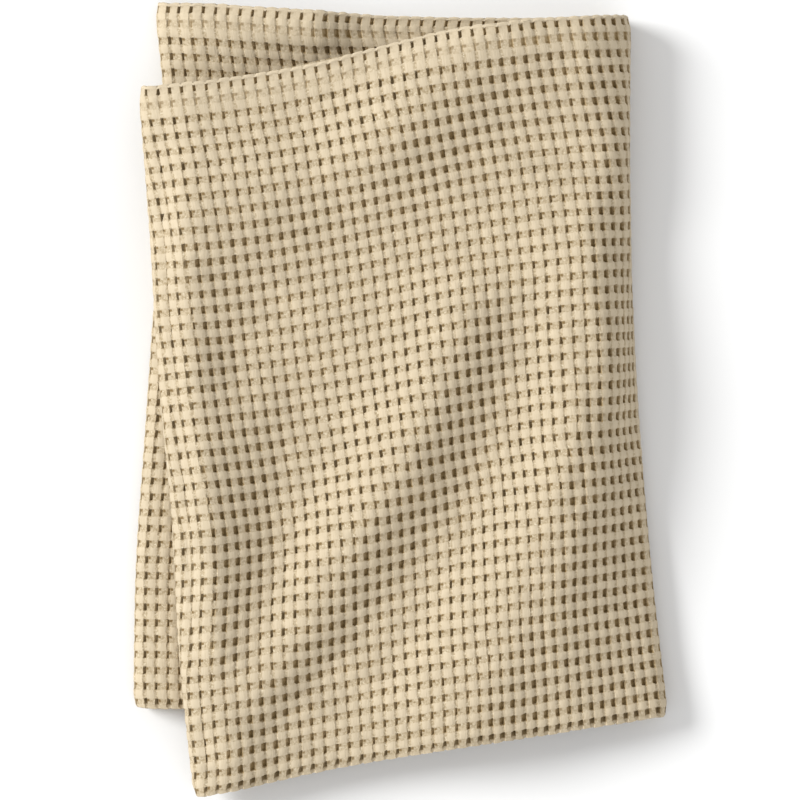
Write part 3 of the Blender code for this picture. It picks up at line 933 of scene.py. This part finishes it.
# Yarns: floats that run along the cloth on the blocks, and the ground's mottle with its slubs and dark
# gaps. Then the grain of a slight change in brightness from cell to cell, and of one over the whole cloth.
FLOATS_PER_CELL = (7.0, 1.2, 1)
MOTTLE_GRAIN = 580.0
MOTTLE_ROUGHNESS = 0.6
SPECKLE_GRAIN = 812.0
CELL_GRAIN = 60.0
CLOTH_GRAIN = 9.0
FLOAT_SPAN = (0.25, 0.75)
MOTTLE_SPAN = (0.34, 0.60)
GAP_SPAN = (0.26, 0.38)
SLUB_SPAN = (0.60, 0.70)
TONE_SPAN = (0.3, 0.7)
CELL_TONES = (0.94, 1.04)
CLOTH_TONES = (0.97, 1.03)
stretch = nodes.new("ShaderNodeMapping")
links.new(weave.outputs["UV"], stretch.inputs["Vector"])
stretch.inputs["Scale"].default_value = FLOATS_PER_CELL
floats = noise(stretch.outputs["Vector"], 1.0, 1)
mottle = noise(place, MOTTLE_GRAIN, 2, MOTTLE_ROUGHNESS)
speckle = noise(place, SPECKLE_GRAIN, 1)
gaps = less(fade(speckle, GAP_SPAN))
slubs = fade(speckle, SLUB_SPAN)
cell_tone = carried(noise(place, CELL_GRAIN, 2), TONE_SPAN, CELL_TONES).outputs["Result"]
cloth_tone = carried(noise(place, CLOTH_GRAIN, 2), TONE_SPAN, CLOTH_TONES).outputs["Result"]

# How strongly each colour covers those below it. The pockets' painted shade grows where the cloth turns
# from the light and where it faces the light.
SLUB_SHARE = 0.8
GAP_SHARE = 0.55
POCKET_SHADE_SHARE = 0.95
TURNED_AWAY_SHADE_SHARE = 0.3
DEEP_SHADE_SHARE = 0.62
DEEP_SHADE_FACING_LIGHT = 0.35
DEEP_SHADE_TURNED_AWAY = 0.15
FOOT_SHADE_SHARE = 0.6
DARKEST_SHADE_SHARE = 0.6
# Share of the deep painted shade: more where the cloth faces the light or turns from it.
deep_shade_share = plus(DEEP_SHADE_SHARE, plus(times(faces_light, DEEP_SHADE_FACING_LIGHT), times(turned_away_shade, DEEP_SHADE_TURNED_AWAY)))
# The darkest painted shade falls in pockets where the cloth faces the light and in the last row.
darkest_shade = times(work_out("MAXIMUM", faces_light, last_row), DARKEST_SHADE_SHARE)
ground_colour = tint(fade(mottle, MOTTLE_SPAN), GROUND_SHADE, GROUND_COLOUR)
ground_colour = tint(times(slubs, SLUB_SHARE), ground_colour, SLUB_COLOUR)
ground_colour = tint(times(gaps, GAP_SHARE), ground_colour, GAP_COLOUR)
colour = tint(fade(floats, FLOAT_SPAN), FLOAT_SHADE, BLOCK_COLOUR)
# Over the ground come the pockets' painted shadow and painted shade.
for amount, cover in (
    (ground, ground_colour),
    (times(serif_shadow, POCKET_SHADE_SHARE), SERIF_SHADOW_COLOUR),
    (times(pocket, POCKET_SHADE_SHARE), POCKET_SHADE_COLOUR),
    (times(pocket, times(turned_away_shade, TURNED_AWAY_SHADE_SHARE)), DEEP_SHADE_COLOUR),
    (times(deepest_shade, deep_shade_share), DEEP_SHADE_COLOUR),
    (times(foot_shade, FOOT_SHADE_SHARE), DEEP_SHADE_COLOUR),
    (times(pocket, darkest_shade), DARKEST_SHADE_COLOUR),
):
    colour = tint(amount, colour, cover)
tone = nodes.new("ShaderNodeVectorMath")
tone.operation = "SCALE"
links.new(colour, tone.inputs[0])
links.new(times(cell_tone, cloth_tone), tone.inputs["Scale"])
links.new(tone.outputs["Vector"], surface.inputs["Base Color"])

# Relief in metres: yarns and fibres everywhere, and the waffle itself where the mesh doesn't have it.
WAFFLE_RELIEF = -0.0018
GROUND_RELIEF = 0.25
FLOAT_RELIEF = 0.0003
FIBRE_RELIEF = 0.0001
ROUGH_RELIEF = 0.0004
RELIEF_STRENGTH = 0.8
# The pocket's painted-shadow mask also gives its relief where the mesh has none.
waffle_height = times(plus(pocket, times(ground, GROUND_RELIEF)), WAFFLE_RELIEF)
waffle_height = times(waffle_height, less(point_value("modelled")))
float_height = times(times(floats, block), FLOAT_RELIEF)
fibre_height = times(mottle, plus(FIBRE_RELIEF, times(ground, ROUGH_RELIEF)))
bump = nodes.new("ShaderNodeBump")
bump.inputs["Distance"].default_value = 1.0
bump.inputs["Strength"].default_value = RELIEF_STRENGTH
links.new(plus(plus(waffle_height, float_height), fibre_height), bump.inputs["Height"])
links.new(bump.outputs["Normal"], surface.inputs["Normal"])
cloth.data.materials.clear()
cloth.data.materials.append(cotton)

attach(cloth, "root")
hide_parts("blanket")

# ---------------------------------------------------------------------------------------------------------
# The floor: a plain matt white table top that the folded blanket lies on. It is much wider than the picture,
# so that no edge of it shows.
# ---------------------------------------------------------------------------------------------------------
FLOOR_SIZE = 6.0
FLOOR_COLOUR = (0.77, 0.77, 0.77, 1)
FLOOR_ROUGHNESS = 0.8
FLOOR_SPECULAR = 0.2
bpy.ops.object.select_all(action="DESELECT")
bpy.ops.mesh.primitive_plane_add(size=FLOOR_SIZE, location=(0, 0, 0))
floor = bpy.context.object
floor.name = "floor"
table_top = bpy.data.materials.new("white_table")
table_top.use_nodes = True
white = table_top.node_tree.nodes["Principled BSDF"]
white.inputs["Base Color"].default_value = FLOOR_COLOUR
white.inputs["Roughness"].default_value = FLOOR_ROUGHNESS
white.inputs["Specular IOR Level"].default_value = FLOOR_SPECULAR
floor.data.materials.append(table_top)

# ---------------------------------------------------------------------------------------------------------
# Light: a broad soft lamp from the left of the picture and a little above it, a faint one from below, and
# an even white room that fills the shadows.
# ---------------------------------------------------------------------------------------------------------
KEY_POWER = 3.53
KEY_SIZE = math.radians(26)
KEY_SIDE = math.radians(160)
KEY_HEIGHT = math.radians(33)
KEY_COLOUR = (0.98, 0.985, 0.98)
FILL_POWER = 0.6
FILL_SIZE = math.radians(80)
FILL_SIDE = math.radians(-72)
FILL_HEIGHT = math.radians(42)
ROOM_POWER = 0.70
ROOM_COLOUR = (1, 1, 1, 1)
LAMP_PLACE = (0, 0, 2)


def add_lamp(name, power, size, side, height):
    """A broad lamp that shines from a side, an angle round from the picture's right, and from a height."""
    bpy.ops.object.light_add(type="SUN", location=LAMP_PLACE)
    lamp = bpy.context.object
    lamp.name = name
    lamp.data.energy = power
    lamp.data.angle = size
    level = math.cos(height)
    toward = Vector((math.cos(side) * level, math.sin(side) * level, math.sin(height)))
    lamp.rotation_euler = toward.to_track_quat("Z", "Y").to_euler()
    return lamp


key = add_lamp("key_light", KEY_POWER, KEY_SIZE, KEY_SIDE, KEY_HEIGHT)
key.data.color = KEY_COLOUR
add_lamp("fill_light", FILL_POWER, FILL_SIZE, FILL_SIDE, FILL_HEIGHT)
room = bpy.data.worlds.new("white_room")
room.use_nodes = True
room.node_tree.nodes["Background"].inputs["Color"].default_value = ROOM_COLOUR
room.node_tree.nodes["Background"].inputs["Strength"].default_value = ROOM_POWER
bpy.context.scene.world = room
bpy.context.scene.view_settings.view_transform = "Standard"

# ---------------------------------------------------------------------------------------------------------
# The camera: straight above the middle of the blanket, far away with a long lens. PIXEL_SIZE is how wide a
# pixel of the picture is at the height of the pile's panels.
# ---------------------------------------------------------------------------------------------------------
PICTURE_PIXELS = 800
PIXEL_SIZE = 0.632 * MM
CAMERA_HEIGHT = 5.0
PILE_HEIGHT = 0.025
SENSOR_WIDTH = 36.0
SEES_TO = 20.0
bpy.ops.object.camera_add(location=(0, 0, CAMERA_HEIGHT), rotation=(0, 0, 0))
camera = bpy.context.object
camera.name = "camera_above"
camera.data.sensor_width = SENSOR_WIDTH
camera.data.lens = SENSOR_WIDTH * (CAMERA_HEIGHT - PILE_HEIGHT) / (PICTURE_PIXELS * PIXEL_SIZE)
camera.data.clip_end = SEES_TO
bpy.context.scene.camera = camera
